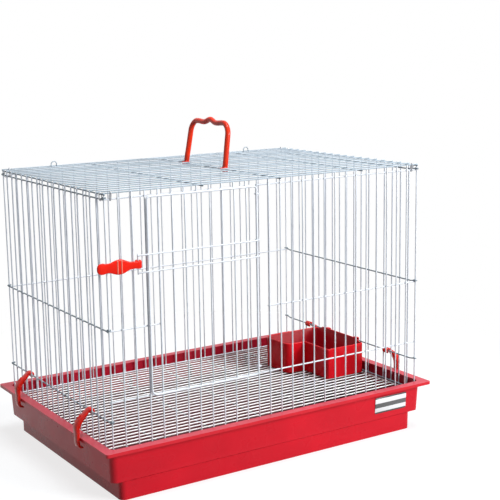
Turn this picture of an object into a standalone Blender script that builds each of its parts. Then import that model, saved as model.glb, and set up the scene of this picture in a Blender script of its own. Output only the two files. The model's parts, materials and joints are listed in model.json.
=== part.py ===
"""Wire carrying cage for small poultry on a moulded tray.

Metres, +Z up. X runs along the cage, -Y is the door side, and the origin is the
centre of the tray's underside.
"""
import math

import bmesh
import bpy
from mathutils import Vector

# ---- driving dimensions -------------------------------------------------
PITCH = 0.021              # spacing of the upright wires
FRONT_GAPS = 27            # wire spaces along the front
END_GAPS = 18              # wire spaces along each end
WIRE = 0.0022              # panel wire
FRAME_WIRE = 0.0030        # door frame wire
GAP = 0.0003               # fit between pieces that touch
SET_OFF = 0.0002           # keeps joined faces out of one plane
RUN_FIT = 0.00034          # bore past the corners of the wire it turns on
WIRE_BORE = WIRE * math.sqrt(0.5) + RUN_FIT

RIM_Z = 0.082              # top of the tray's rim
GRATE_DROP = 0.019         # grate below the rim
BOTTOM_WIRE_DROP = 0.015   # lowest panel wire below the rim
END_WIRE_RISE = 0.037      # wire that carries the clips and the feeder
SILL_RISE = 0.068          # wire under the doorway
MID_RISE = 0.172           # wire at half height
TOP_WIRE_RISE = 0.360      # top wire of the panels
ROOF_LIFT = 0.007          # roof above the panels' top wire

GRATE_GAPS = 30            # wire spaces across the grate
GRATE_CROSS = 6            # spaces between the grate's cross wires
ROOF_CROSS_X = (-6 * PITCH, 0.5 * PITCH, 8 * PITCH)   # the roof's inner cross wires

TRAY_WALL = 0.0025
TRAY_STEP_Z = 0.031        # height of the outside step
TRAY_FOOT_OFF = (-0.011, -0.0015)   # tray outline beyond the cage along X and Y, at the bottom
TRAY_LOWER_OFF = (-0.009, 0.0015)   # just under the step
TRAY_UPPER_OFF = 0.005     # just over the step
TRAY_NECK_OFF = 0.0085     # under the rim
RIM_OFF = 0.020            # outer edge of the rim
LIP_DROP = 0.005           # turned-down lip
LOWER_R = 0.009            # corner radii of the lower part, the upper part and the rim
UPPER_R = 0.010
RIM_R = 0.004
RIB_DEEP = 0.0085          # seat ribs under the grate
RIB_THICK = 0.003

DOOR_FIRST = 4             # front wire at the doorway's latch side
HINGE_WIRE = 12            # front wire that the door turns on
DOOR_OVERLAP = PITCH - 0.0015   # door frame past the doorway on the latch side
DOOR_TOP_DROP = 0.001      # door frame under the top wire
RAIL_RISES = (0.252, 0.277)   # the door's two rails, above the rim
KNUCKLE_INSET = 0.012      # end knuckles from the door's corners
KNUCKLE_WALL = 0.0022
LATCH_PIN_OUT = PITCH - 0.0045   # latch pin beyond the door's latch stile
LATCH_LENGTH = 0.065
LATCH_THICK = 0.0035
LATCH_TAB = 0.0055         # half height of the finger tab
LATCH_WIDE = 0.0108        # half height of the middle
LATCH_NECK = 0.0072        # half height at the pin
LATCH_BORE = WIRE_BORE + 0.0003
LATCH_WALL = 0.0024

HANDLE_FEET = (-1.5 * PITCH, 4.5 * PITCH)   # the feet along Y, between roof wires
HANDLE_HEIGHT = 0.0835
HANDLE_ROD = 0.0090
HANDLE_TAPER = 0.003       # each leg leans inwards by this much
HANDLE_LEAN = math.radians(9)
HANDLE_BEND = 0.020        # shoulder radius
FOOT_WALL = 0.0030         # the feet turn on the roof's middle cross wire

CLIP_Y = 5.5 * PITCH       # clips either side of the middle
CLIP_WIDTH = 0.012
CLIP_THICK = 0.0026
CLIP_TOE_FIT = 0.0095      # toe below the rim's lip

CUP_WALL = 0.0020
CUP_FRONT_Y = -0.054
CUP_BACK_Y = 0.090
CUP_LOBE_Y = 0.016         # where the wide part starts
CUP_NARROW = 0.079         # length of the narrow part along X
CUP_WIDE = 0.116           # length of the wide part along X
CUP_END_GAP = 0.0015       # cup to the end panel's wires
CUP_BACK_RISE = 0.006      # end wall above the other walls
CUP_HOOK_Y = (-1.5 * PITCH, 2.5 * PITCH)

LABEL_SIZE = (0.066, 0.028)
LABEL_CENTRE = (0.226, 0.055)   # along X and above the ground
LABEL_THICK = 0.0006

LOOP_X = (-9.2 * PITCH, 9.2 * PITCH)
LOOP_SPAN = 0.010
LOOP_RISE = 0.009
LOOP_WIRE = 0.0018
RING_WIRE = 0.0018

# ---- derived sizes ------------------------------------------------------
HALF_L = FRONT_GAPS * PITCH / 2
HALF_W = END_GAPS * PITCH / 2
GRATE_Z = RIM_Z - GRATE_DROP
BOTTOM_Z = RIM_Z - BOTTOM_WIRE_DROP
END_Z = RIM_Z + END_WIRE_RISE
SILL_Z = RIM_Z + SILL_RISE
MID_Z = RIM_Z + MID_RISE
TOP_Z = RIM_Z + TOP_WIRE_RISE
ROOF_Z = TOP_Z + ROOF_LIFT
FOOT_Z = GRATE_Z + WIRE / 2 + GAP        # lower ends of the uprights
HEAD_Z = ROOF_Z - WIRE / 2 - GAP         # upper ends of the uprights
DOOR_Y = -HALF_W - WIRE / 2 - GAP - FRAME_WIRE / 2
CLIP_TOE_R = math.hypot(RIM_OFF, END_WIRE_RISE + LIP_DROP) + CLIP_THICK / 2 + CLIP_TOE_FIT


# ---- helpers ------------------------------------------------------------
def clear_scene():
    for item in list(bpy.data.objects):
        bpy.data.objects.remove(item, do_unlink=True)


def paint(name, colour, roughness, metallic=0.0):
    material = bpy.data.materials.new(name)
    material.use_nodes = True
    shader = material.node_tree.nodes["Principled BSDF"]
    shader.inputs["Base Color"].default_value = (*colour, 1.0)
    shader.inputs["Roughness"].default_value = roughness
    shader.inputs["Metallic"].default_value = metallic
    return material


def add_object(name, mesh_data, material, origin=(0, 0, 0)):
    """Makes an object from a bmesh in world space, with its origin moved."""
    mesh = bpy.data.meshes.new(name)
    bmesh.ops.recalc_face_normals(mesh_data, faces=mesh_data.faces)
    bmesh.ops.translate(mesh_data, verts=mesh_data.verts, vec=-Vector(origin))
    mesh_data.to_mesh(mesh)
    mesh_data.free()
    item = bpy.data.objects.new(name, mesh)
    item.location = origin
    item.data.materials.append(material)
    bpy.context.collection.objects.link(item)
    return item


def smooth(item, angle=40):
    item.data.shade_smooth()
    item.data.set_sharp_from_angle(angle=math.radians(angle))


def combine(base, solid, operation):
    """Joins a closed bmesh to an object, or cuts it away, in world space."""
    tool = add_object(base.name + "_tool", solid, base.data.materials[0], base.location)
    change = base.modifiers.new("change", "BOOLEAN")
    change.operation = operation
    change.solver = "EXACT"
    change.object = tool
    bpy.context.view_layer.update()
    shape = base.evaluated_get(bpy.context.evaluated_depsgraph_get())
    changed = bpy.data.meshes.new_from_object(shape)
    base.modifiers.clear()
    base.data = changed
    bpy.data.objects.remove(tool, do_unlink=True)


def join_solids(name, solids, material, origin=(0, 0, 0)):
    base = add_object(name, solids[0], material, origin)
    for solid in solids[1:]:
        combine(base, solid, "UNION")
    return base


def prism(outline, low, high, place):
    """Extrudes a closed outline of (u, v) points from low to high."""
    shape = bmesh.new()
    bottom = [shape.verts.new(place(u, v, low)) for u, v in outline]
    top = [shape.verts.new(place(u, v, high)) for u, v in outline]
    shape.faces.new(bottom[::-1])
    shape.faces.new(top)
    count = len(outline)
    for i in range(count):
        j = (i + 1) % count
        shape.faces.new((bottom[i], bottom[j], top[j], top[i]))
    return shape


def box(low, high):
    outline = ((low[0], low[1]), (high[0], low[1]), (high[0], high[1]), (low[0], high[1]))
    return prism(outline, low[2], high[2], lambda u, v, w: (u, v, w))


def arc(centre, radius, start, end, steps):
    points = []
    for i in range(steps + 1):
        angle = math.radians(start + (end - start) * i / steps)
        points.append((centre[0] + radius * math.cos(angle), centre[1] + radius * math.sin(angle)))
    return points


def ribbon(path, thick):
    """Outline of a strip of even thickness along an open path."""
    left, right = [], []
    for i, point in enumerate(path):
        before = Vector(path[max(i - 1, 0)])
        after = Vector(path[min(i + 1, len(path) - 1)])
        along = (after - before).normalized()
        across = Vector((-along.y, along.x)) * thick / 2
        left.append(tuple(Vector(point) + across))
        right.append(tuple(Vector(point) - across))
    return left + right[::-1]


def lattice(bars_u, bars_v, half_thick, place):
    """One flat welded grille.

    bars_u are uprights (u, width, v_low, v_high); bars_v are rails
    (v, width, u_low, u_high). Bars cross in one plane.
    """
    def spans(bars):
        rects = []
        for centre, width, low, high in bars:
            rects.append((centre - width / 2, centre + width / 2, low, high))
        return rects

    boxes = [(u0, u1, v0, v1) for u0, u1, v0, v1 in spans(bars_u)]
    boxes += [(u0, u1, v0, v1) for v0, v1, u0, u1 in spans(bars_v)]
    cuts_u = sorted({round(value, 7) for item in boxes for value in item[:2]})
    cuts_v = sorted({round(value, 7) for item in boxes for value in item[2:]})

    def filled(i, j):
        if not (0 <= i < len(cuts_u) - 1 and 0 <= j < len(cuts_v) - 1):
            return False
        u = (cuts_u[i] + cuts_u[i + 1]) / 2
        v = (cuts_v[j] + cuts_v[j + 1]) / 2
        return any(b[0] < u < b[1] and b[2] < v < b[3] for b in boxes)

    shape = bmesh.new()
    corners = {}

    def corner(i, j, side):
        key = (i, j, side)
        if key not in corners:
            corners[key] = shape.verts.new(place(cuts_u[i], cuts_v[j], side * half_thick))
        return corners[key]

    walls = (
        (-1, 0, (0, 1), (0, 0)),
        (1, 0, (1, 0), (1, 1)),
        (0, -1, (0, 0), (1, 0)),
        (0, 1, (1, 1), (0, 1)),
    )
    for i in range(len(cuts_u) - 1):
        for j in range(len(cuts_v) - 1):
            if not filled(i, j):
                continue
            square = ((i, j), (i + 1, j), (i + 1, j + 1), (i, j + 1))
            shape.faces.new([corner(a, b, 1) for a, b in square])
            shape.faces.new([corner(a, b, -1) for a, b in square[::-1]])
            for di, dj, first, second in walls:
                if filled(i + di, j + dj):
                    continue
                a = (i + first[0], j + first[1])
                b = (i + second[0], j + second[1])
                shape.faces.new((corner(*a, 1), corner(*a, -1), corner(*b, -1), corner(*b, 1)))
    return shape


def on_front(y):
    return lambda u, v, w: (u, y - w, v)


def on_end(x):
    return lambda u, v, w: (x + w, u, v)


def level(z):
    return lambda u, v, w: (u, v, z + w)


def front_x(index):
    return -HALF_L + PITCH * index


def end_y(index):
    return -HALF_W + PITCH * index


def uprights(places, low, high):
    return [(place, WIRE, low, high) for place in places]


def rail(v, low, high, width=WIRE):
    return (v, width, low, high)


# ---- wire panels --------------------------------------------------------
def make_front(white):
    """Front wall in four flat grilles around the doorway."""
    half = WIRE / 2
    left_end = front_x(DOOR_FIRST) + half
    right_end = front_x(HINGE_WIRE) - half
    place = on_front(-HALF_W)
    levels = (BOTTOM_Z, SILL_Z, MID_Z, TOP_Z)
    left = uprights([front_x(i) for i in range(DOOR_FIRST + 1)], FOOT_Z, HEAD_Z)
    rails = [rail(z, front_x(0) - half, left_end) for z in levels]
    add_object("front_panel_left", lattice(left, rails, half, place), white("front_left"))

    right = uprights([front_x(i) for i in range(HINGE_WIRE, FRONT_GAPS + 1)], FOOT_Z, HEAD_Z)
    starts = (right_end, right_end, front_x(HINGE_WIRE + 1) - half, right_end)
    rails = [rail(z, start, front_x(FRONT_GAPS) + half) for z, start in zip(levels, starts)]
    add_object("front_panel_right", lattice(right, rails, half, place), white("front_right"))

    under = uprights([front_x(i) for i in range(DOOR_FIRST + 1, HINGE_WIRE)], FOOT_Z, SILL_Z + half)
    rails = [rail(z, left_end + GAP, right_end - GAP) for z in (BOTTOM_Z, SILL_Z)]
    add_object("front_sill_grille", lattice(under, rails, half, place), white("sill"))

    over = uprights([front_x(i) for i in range(DOOR_FIRST + 1, HINGE_WIRE)], TOP_Z - half, HEAD_Z)
    rails = [rail(TOP_Z, left_end + GAP, right_end - GAP)]
    add_object("doorway_header", lattice(over, rails, half, place), white("header"))


def make_back(white):
    half = WIRE / 2
    bars = uprights([front_x(i) for i in range(FRONT_GAPS + 1)], FOOT_Z, HEAD_Z)
    rails = [rail(z, -HALF_L - half, HALF_L + half) for z in (BOTTOM_Z, MID_Z, TOP_Z)]
    add_object("back_panel", lattice(bars, rails, half, on_front(HALF_W)), white("back"))


def make_ends(white):
    half = WIRE / 2
    reach = HALF_W - half - GAP
    bars = uprights([end_y(i) for i in range(1, END_GAPS)], FOOT_Z, HEAD_Z)
    rails = [rail(z, -reach, reach) for z in (BOTTOM_Z, END_Z, MID_Z, TOP_Z)]
    for name, x in (("left_end_panel", -HALF_L), ("right_end_panel", HALF_L)):
        add_object(name, lattice(bars, rails, half, on_end(x)), white(name))


def make_roof(white):
    half = WIRE / 2
    cross = (-HALF_L, *ROOF_CROSS_X, HALF_L)
    bars = [(x, WIRE, -HALF_W - half, HALF_W + half) for x in cross]
    rails = [rail(end_y(i), -HALF_L - half, HALF_L + half) for i in range(END_GAPS + 1)]
    add_object("roof_panel", lattice(bars, rails, half, level(ROOF_Z)), white("roof"))


def make_grate(white):
    half = WIRE / 2
    step_x = 2 * HALF_L / GRATE_CROSS
    step_y = 2 * HALF_W / GRATE_GAPS
    bars = [(-HALF_L + step_x * i, WIRE, -HALF_W - half, HALF_W + half) for i in range(GRATE_CROSS + 1)]
    rails = [rail(-HALF_W + step_y * i, -HALF_L - half, HALF_L + half) for i in range(GRATE_GAPS + 1)]
    add_object("floor_grate", lattice(bars, rails, half, level(GRATE_Z)), white("grate"))


# ---- tray ---------------------------------------------------------------
def tray_loop(offset, radius, z, steps=4):
    """Rounded rectangle that stands off the cage's outline by offset along X and Y."""
    half_x, half_y = HALF_L + offset[0], HALF_W + offset[1]
    points = []
    corners = ((1, 1, 0), (-1, 1, 90), (-1, -1, 180), (1, -1, 270))
    for sx, sy, start in corners:
        centre = (sx * (half_x - radius), sy * (half_y - radius))
        points += [(*p, z) for p in arc(centre, radius, start, start + 90, steps)]
    return points


def wall_offset(z):
    """Outer face of the tray's upper wall at a height."""
    share = (z - TRAY_STEP_Z) / (RIM_Z - TRAY_WALL - TRAY_STEP_Z)
    return TRAY_UPPER_OFF + (TRAY_NECK_OFF - TRAY_UPPER_OFF) * share


def tray_shell():
    wall = TRAY_WALL
    outline = (
        (TRAY_FOOT_OFF, LOWER_R, 0.0),
        (TRAY_LOWER_OFF, LOWER_R, TRAY_STEP_Z),
        ((TRAY_UPPER_OFF, TRAY_UPPER_OFF), UPPER_R, TRAY_STEP_Z),
        ((TRAY_NECK_OFF, TRAY_NECK_OFF), UPPER_R, RIM_Z - wall),
    )
    inner, edge = RIM_OFF - wall, RIM_OFF
    lip = (
        ((inner, inner), RIM_R - wall, RIM_Z - wall),
        ((inner, inner), RIM_R - wall, RIM_Z - LIP_DROP),
        ((edge, edge), RIM_R, RIM_Z - LIP_DROP),
        ((edge, edge), RIM_R, RIM_Z),
    )
    inside = [((off[0] - wall, off[1] - wall), r - wall, z + wall) for off, r, z in reversed(outline)]
    sections = (*outline, *lip, *inside)
    shape = bmesh.new()
    loops = [[shape.verts.new(p) for p in tray_loop(*section)] for section in sections]
    for lower, upper in zip(loops, loops[1:]):
        count = len(lower)
        for i in range(count):
            j = (i + 1) % count
            shape.faces.new((lower[i], lower[j], upper[j], upper[i]))
    shape.faces.new(loops[0][::-1])
    shape.faces.new(loops[-1])
    return shape


def tray_ribs():
    """Short ribs inside the tray that carry the grate."""
    low = TRAY_STEP_Z + TRAY_WALL / 2
    high = GRATE_Z - WIRE / 2 - GAP
    outer = TRAY_UPPER_OFF - TRAY_WALL / 2
    thick = RIB_THICK / 2
    inner = outer - RIB_DEEP
    ribs = []
    for side in (-1, 1):
        for x in (-HALF_L * 0.66, -HALF_L * 0.22, HALF_L * 0.22, HALF_L * 0.66):
            ys = sorted((side * (HALF_W + inner), side * (HALF_W + outer)))
            ribs.append(box((x - thick, ys[0], low), (x + thick, ys[1], high)))
        for y in (-HALF_W * 0.4, HALF_W * 0.4):
            xs = sorted((side * (HALF_L + inner), side * (HALF_L + outer)))
            ribs.append(box((xs[0], y - thick, low), (xs[1], y + thick, high)))
    return ribs


def make_tray():
    red = paint("tray_red", (0.62, 0.012, 0.025), 0.35)
    tray = join_solids("tray", [tray_shell(), *tray_ribs()], red)
    smooth(tray, 30)


def make_label():
    white = paint("label_white", (0.85, 0.85, 0.85), 0.5)
    half_x, half_z = LABEL_SIZE[0] / 2, LABEL_SIZE[1] / 2
    x, z = LABEL_CENTRE
    outline = []
    for height in (z - half_z, z + half_z):
        face = -HALF_W - wall_offset(height) - GAP
        outline.append((face, height))
    (y0, z0), (y1, z1) = outline
    section = ((y0, z0), (y1, z1), (y1 - LABEL_THICK, z1), (y0 - LABEL_THICK, z0))
    plate = prism(section, x - half_x, x + half_x, lambda u, v, w: (w, u, v))
    add_object("tray_label", plate, white)


# ---- door and latch -----------------------------------------------------
def ring(centre, bore, wall, low, high, place, steps=12):
    """Closed collar round a wire."""
    shape = bmesh.new()
    rows = []
    for radius, w in ((bore, low), (bore + wall, low), (bore + wall, high), (bore, high)):
        points = arc(centre, radius / math.cos(math.pi / steps), 0, 360, steps)[:-1]
        rows.append([shape.verts.new(place(u, v, w)) for u, v in points])
    for k, row in enumerate(rows):
        other = rows[(k + 1) % 4]
        for i in range(steps):
            j = (i + 1) % steps
            shape.faces.new((row[i], row[j], other[j], other[i]))
    return shape


def flat(u, v, w):
    return (u, v, w)


def make_door(white):
    stile_x = front_x(DOOR_FIRST) - DOOR_OVERLAP
    hinge_x = front_x(HINGE_WIRE)
    inner_x = hinge_x - WIRE / 2 - GAP - FRAME_WIRE
    pin_x = stile_x - LATCH_PIN_OUT
    low, high = SILL_Z, TOP_Z - DOOR_TOP_DROP
    half = FRAME_WIRE / 2
    rails_z = [RIM_Z + rise for rise in RAIL_RISES]
    bars = [(x, FRAME_WIRE, low - half, high + half) for x in (stile_x, inner_x)]
    bars += uprights([front_x(i) for i in range(DOOR_FIRST + 1, HINGE_WIRE)], low, high)
    bars.append((pin_x, WIRE, rails_z[0] - WIRE / 2, rails_z[1] + WIRE / 2))
    ends = (stile_x - half, inner_x + half)
    rails = [rail(z, *ends, FRAME_WIRE) for z in (low, high)]
    rails += [rail(z, pin_x - WIRE / 2, inner_x + half) for z in rails_z]
    body = lattice(bars, rails, half, on_front(DOOR_Y))
    solids = [body]
    centre = (hinge_x, -HALF_W)
    knuckle_z = (low + KNUCKLE_INSET, rails_z[0], high - KNUCKLE_INSET)
    for z in knuckle_z:
        span = (z - FRAME_WIRE / 2 + SET_OFF, z + FRAME_WIRE / 2 + SET_OFF)
        solids.append(ring(centre, WIRE_BORE, KNUCKLE_WALL, *span, flat))
    axis = (hinge_x, -HALF_W, (low + high) / 2)
    join_solids("door", solids, white("door"), axis)
    return pin_x, (rails_z[0] + rails_z[1]) / 2


def latch_outline(pin_x, mid_z):
    """Side outline of the latch: a rounded tab, a wide middle and a square end."""
    tip = pin_x - LATCH_LENGTH
    tab = LATCH_TAB
    spine = (
        (tip + tab * 2, tab * 1.1),
        (tip + LATCH_LENGTH * 0.34, tab * 1.3),
        (tip + LATCH_LENGTH * 0.43, LATCH_WIDE),
        (tip + LATCH_LENGTH * 0.62, LATCH_WIDE),
        (tip + LATCH_LENGTH * 0.71, LATCH_NECK),
        (pin_x, LATCH_NECK),
    )
    top = [(x, mid_z + h) for x, h in spine]
    bottom = [(x, mid_z - h) for x, h in reversed(spine)]
    nose = arc((tip + tab, mid_z), tab, 250, 110, 5)
    return bottom + nose + top


def bore_solid(centre, bore, low, high, place, sides=12):
    """Cutter that clears a wire's bore through what carries it."""
    outline = arc(centre, bore / math.cos(math.pi / sides), 0, 360, sides)[:-1]
    return prism(outline, low, high, place)


def make_latch(pin_x, mid_z):
    orange = paint("latch_orange", (0.85, 0.06, 0.01), 0.4)
    axis = (pin_x, DOOR_Y)
    front = DOOR_Y - LATCH_BORE - LATCH_WALL + SET_OFF
    outline = latch_outline(pin_x, mid_z)
    plate = prism(outline, front, front + LATCH_THICK, lambda u, v, w: (u, w, v))
    half = LATCH_NECK + SET_OFF * 4
    collar = ring(axis, LATCH_BORE, LATCH_WALL, mid_z - half, mid_z + half, flat)
    latch = join_solids("door_latch", [plate, collar], orange, (*axis, mid_z))
    combine(latch, bore_solid(axis, LATCH_BORE, mid_z - 2 * half, mid_z + 2 * half, flat), "DIFFERENCE")
    smooth(latch)


# ---- handle -------------------------------------------------------------
def handle_path():
    """Centre line of the bail in its own plane: (along Y, height)."""
    near, far = HANDLE_FEET
    top = HANDLE_HEIGHT - HANDLE_ROD / 2
    radius = HANDLE_BEND
    left, right = near + HANDLE_TAPER, far - HANDLE_TAPER
    middle = (left + right) / 2
    path = [(near, WIRE_BORE * 1.8), (near + HANDLE_TAPER * 0.8, top * 0.6)]
    path += arc((left + radius, top - radius - 0.003), radius, 175, 105, 4)
    inner = (left + radius, right - radius)
    for i in range(1, 12):
        share = i / 12
        y = inner[0] + (inner[1] - inner[0]) * share
        wave = math.cos(4 * math.pi * share)
        peak = 0.0035 * math.exp(-((y - middle) / 0.010) ** 2)
        path.append((y, top - 0.0058 + 0.0028 * wave + peak))
    path += arc((right - radius, top - radius - 0.003), radius, 75, 5, 4)
    path += [(far - HANDLE_TAPER * 0.8, top * 0.6), (far, WIRE_BORE * 1.8)]
    return path


def rod(path, radius, place, sides=8):
    """Round bar along a flat path, with closed ends."""
    shape = bmesh.new()
    rows = []
    for i, point in enumerate(path):
        before = Vector(path[max(i - 1, 0)])
        after = Vector(path[min(i + 1, len(path) - 1)])
        along = (after - before).normalized()
        across = Vector((-along.y, along.x))
        row = []
        for k in range(sides):
            angle = 2 * math.pi * (k + 0.5) / sides
            offset = across * (radius * math.cos(angle))
            depth = radius * math.sin(angle)
            row.append(shape.verts.new(place(point[0] + offset.x, point[1] + offset.y, depth)))
        rows.append(row)
    for low, high in zip(rows, rows[1:]):
        for k in range(sides):
            j = (k + 1) % sides
            shape.faces.new((low[k], low[j], high[j], high[k]))
    shape.faces.new(rows[0][::-1])
    shape.faces.new(rows[-1])
    return shape


def make_handle():
    orange = paint("handle_orange", (0.85, 0.05, 0.01), 0.38)
    axis_x = ROOF_CROSS_X[1]
    centre = (axis_x, ROOF_Z)
    radius = HANDLE_ROD / 2

    def across(u, v, w):
        return (u, w, v)

    solids = [rod(handle_path(), radius, lambda u, v, w: (axis_x + w, u, ROOF_Z + v))]
    for y in HANDLE_FEET:
        span = (y - radius * 0.9, y + radius * 0.9)
        solids.append(ring(centre, WIRE_BORE, FOOT_WALL, *span, across))
    middle = sum(HANDLE_FEET) / 2
    handle = join_solids("carrying_handle", solids, orange, (axis_x, middle, ROOF_Z))
    combine(handle, bore_solid(centre, WIRE_BORE, -HALF_W, HALF_W, across), "DIFFERENCE")
    handle.rotation_euler = (0, HANDLE_LEAN, 0)
    smooth(handle)


# ---- tray clips ---------------------------------------------------------
def clip_path():
    """Clip's centre line about its axis: (outwards, up)."""
    radius = WIRE_BORE + CLIP_THICK / 2
    hook = arc((0, 0), radius, 265, 50, 8)
    reach = RIM_OFF + GAP * 2 + CLIP_THICK / 2
    rim = END_WIRE_RISE
    arm = [(0.0085, 0.0006), (0.0150, -0.0075), (reach - 0.0015, -rim * 0.62), (reach, -rim)]
    start = -math.degrees(math.acos(reach / CLIP_TOE_R))
    toe = arc((0, 0), CLIP_TOE_R, start, start - 11, 4)
    return hook + arm + toe


def make_clips():
    for side, side_name in ((-1, "left"), (1, "right")):
        for place, place_name in ((-1, "front"), (1, "back")):
            name = f"tray_clip_{side_name}_{place_name}"
            red = paint(name + "_red", (0.70, 0.012, 0.02), 0.4)
            centre = place * CLIP_Y
            span = (centre - CLIP_WIDTH / 2, centre + CLIP_WIDTH / 2)
            strip = ribbon(clip_path(), CLIP_THICK)
            x, z = side * HALF_L, END_Z
            shape = prism(strip, *span, lambda u, v, w, s=side, x=x, z=z: (x + s * u, w, z + v))
            clip = add_object(name, shape, red, (x, centre, z))
            smooth(clip)


# ---- feeder -------------------------------------------------------------
def cup_outline(inset):
    """Plan of the feeder: a narrow part and a wide part with round corners."""
    right = HALF_L - WIRE / 2 - CUP_END_GAP - inset
    narrow = HALF_L - WIRE / 2 - CUP_END_GAP - CUP_NARROW + inset
    wide = HALF_L - WIRE / 2 - CUP_END_GAP - CUP_WIDE + inset
    front, lobe, back = CUP_FRONT_Y + inset, CUP_LOBE_Y + inset, CUP_BACK_Y - inset
    small, large = 0.004 - inset * 0.5, 0.012 - inset
    points = arc((right - small, front + small), small, 270, 360, 2)
    points += arc((right - large, back - large), large, 0, 90, 3)
    points += arc((wide + large, back - large), large, 90, 180, 3)
    points += arc((wide + large, lobe + large), large, 180, 270, 3)
    points += [(narrow, lobe)]
    points += arc((narrow + small, front + small), small, 180, 270, 2)
    return points


def make_feeder():
    red = paint("feeder_red", (0.66, 0.012, 0.02), 0.35)
    low = GRATE_Z + WIRE / 2 + GAP
    high = END_Z
    shape = bmesh.new()
    rows = []
    for inset, z in ((0, low), (0, high), (CUP_WALL, high), (CUP_WALL, low + CUP_WALL)):
        rows.append([shape.verts.new((x, y, z)) for x, y in cup_outline(inset)])
    for lower, upper in zip(rows, rows[1:]):
        count = len(lower)
        for i in range(count):
            j = (i + 1) % count
            shape.faces.new((lower[i], lower[j], upper[j], upper[i]))
    shape.faces.new(rows[0][::-1])
    shape.faces.new(rows[-1])
    right = HALF_L - WIRE / 2 - CUP_END_GAP
    top = high + CUP_BACK_RISE
    wall = box((right - CUP_WALL, CUP_FRONT_Y + 0.012, high - 0.004), (right, CUP_BACK_Y - 0.014, top))
    solids = [shape, wall]
    thick = 0.0020
    outer = HALF_L + WIRE / 2 + GAP + thick
    for y in CUP_HOOK_Y:
        half = 0.004
        over = box((right - CUP_WALL / 2, y - half, top - thick), (outer, y + half, top))
        down = box((outer - thick, y - half, END_Z - 0.004), (outer, y + half, top - thick / 2))
        solids += [over, down]
    feeder = join_solids("feeder_cup", solids, red)
    smooth(feeder, 30)


# ---- wire loops and rings ----------------------------------------------
def staple(span, rise, wire):
    """Outline of an arch: (across, up)."""
    outer, inner = span / 2 + wire / 2, span / 2 - wire / 2
    spring = rise - outer
    points = [(outer, 0.0)] + arc((0, spring), outer, 0, 180, 6) + [(-outer, 0.0)]
    points += [(-inner, 0.0)] + arc((0, spring), inner, 180, 0, 6) + [(inner, 0.0)]
    return points


def make_loops(white):
    base = ROOF_Z + WIRE / 2 + GAP
    for x, name in zip(LOOP_X, ("left", "right")):
        span = (HALF_W - LOOP_WIRE / 2, HALF_W + LOOP_WIRE / 2)
        outline = staple(LOOP_SPAN, LOOP_RISE, LOOP_WIRE)
        shape = prism(outline, *span, lambda u, v, w, x=x: (x + u, w, base + v))
        add_object(f"hanging_loop_{name}", shape, white(name + "_loop"))


def tie_ring(place):
    """Flat ring around the panel's top wire and the roof's edge wire."""
    inner = (WIRE / 2 + GAP, ROOF_LIFT / 2 + WIRE / 2 + GAP)
    outer = (inner[0] + RING_WIRE, inner[1] + RING_WIRE)
    shape = bmesh.new()
    rows = []
    for half, w in ((inner, -1), (outer, -1), (outer, 1), (inner, 1)):
        bevel = RING_WIRE * 0.6 if half is outer else 0.0001
        a, b = half
        points = (
            (a, -b + bevel), (a, b - bevel), (a - bevel, b), (-a + bevel, b),
            (-a, b - bevel), (-a, -b + bevel), (-a + bevel, -b), (a - bevel, -b),
        )
        rows.append([shape.verts.new(place(u, v, w * RING_WIRE / 2)) for u, v in points])
    for k, row in enumerate(rows):
        other = rows[(k + 1) % 4]
        for i in range(8):
            j = (i + 1) % 8
            shape.faces.new((row[i], row[j], other[j], other[i]))
    return shape


def make_tie_rings():
    steel = (0.60, 0.62, 0.65)
    middle = (TOP_Z + ROOF_Z) / 2
    end_place = HALF_W - PITCH / 2
    long_place = HALF_L - PITCH / 2
    for sx, name_x in ((-1, "left"), (1, "right")):
        for sy, name_y in ((-1, "front"), (1, "back")):
            x, y = sx * HALF_L, sy * end_place
            shape = tie_ring(lambda u, v, w, x=x, y=y: (x + u, y + w, middle + v))
            name = f"end_ring_{name_x}_{name_y}"
            add_object(name, shape, paint(name + "_steel", steel, 0.35, 0.9))
            x, y = sx * long_place, sy * HALF_W
            shape = tie_ring(lambda u, v, w, x=x, y=y: (x + w, y + u, middle + v))
            name = f"side_ring_{name_x}_{name_y}"
            add_object(name, shape, paint(name + "_steel", steel, 0.35, 0.9))


# ---- assembly -----------------------------------------------------------
def white_wire(name):
    return paint(name + "_wire", (0.80, 0.83, 0.86), 0.4)


def main():
    clear_scene()
    make_tray()
    make_label()
    make_grate(white_wire)
    make_front(white_wire)
    make_back(white_wire)
    make_ends(white_wire)
    make_roof(white_wire)
    pin_x, pin_z = make_door(white_wire)
    make_latch(pin_x, pin_z)
    make_handle()
    make_clips()
    make_feeder()
    make_loops(white_wire)
    make_tie_rings()


main()
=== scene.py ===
"""Looks for the wire carrying cage: round welded wires, moulded tray and plastic fittings."""
import json
import math

import bpy
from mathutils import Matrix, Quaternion, Vector


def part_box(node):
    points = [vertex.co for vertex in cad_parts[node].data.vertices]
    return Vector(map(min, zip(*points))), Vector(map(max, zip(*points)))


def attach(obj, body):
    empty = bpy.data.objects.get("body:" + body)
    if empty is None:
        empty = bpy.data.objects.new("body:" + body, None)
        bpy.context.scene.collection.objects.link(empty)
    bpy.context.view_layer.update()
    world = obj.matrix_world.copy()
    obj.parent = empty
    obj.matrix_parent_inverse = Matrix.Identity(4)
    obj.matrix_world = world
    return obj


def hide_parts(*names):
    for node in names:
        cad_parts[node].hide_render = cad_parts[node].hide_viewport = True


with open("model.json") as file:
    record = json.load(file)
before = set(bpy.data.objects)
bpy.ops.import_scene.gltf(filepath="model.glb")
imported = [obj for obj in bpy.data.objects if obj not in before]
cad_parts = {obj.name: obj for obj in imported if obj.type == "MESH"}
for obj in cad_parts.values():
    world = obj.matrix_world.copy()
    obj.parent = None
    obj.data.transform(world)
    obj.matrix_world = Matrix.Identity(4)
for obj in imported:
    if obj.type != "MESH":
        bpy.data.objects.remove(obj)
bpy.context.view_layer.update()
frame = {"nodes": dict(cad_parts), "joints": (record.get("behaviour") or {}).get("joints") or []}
nodes = frame["nodes"]

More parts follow.
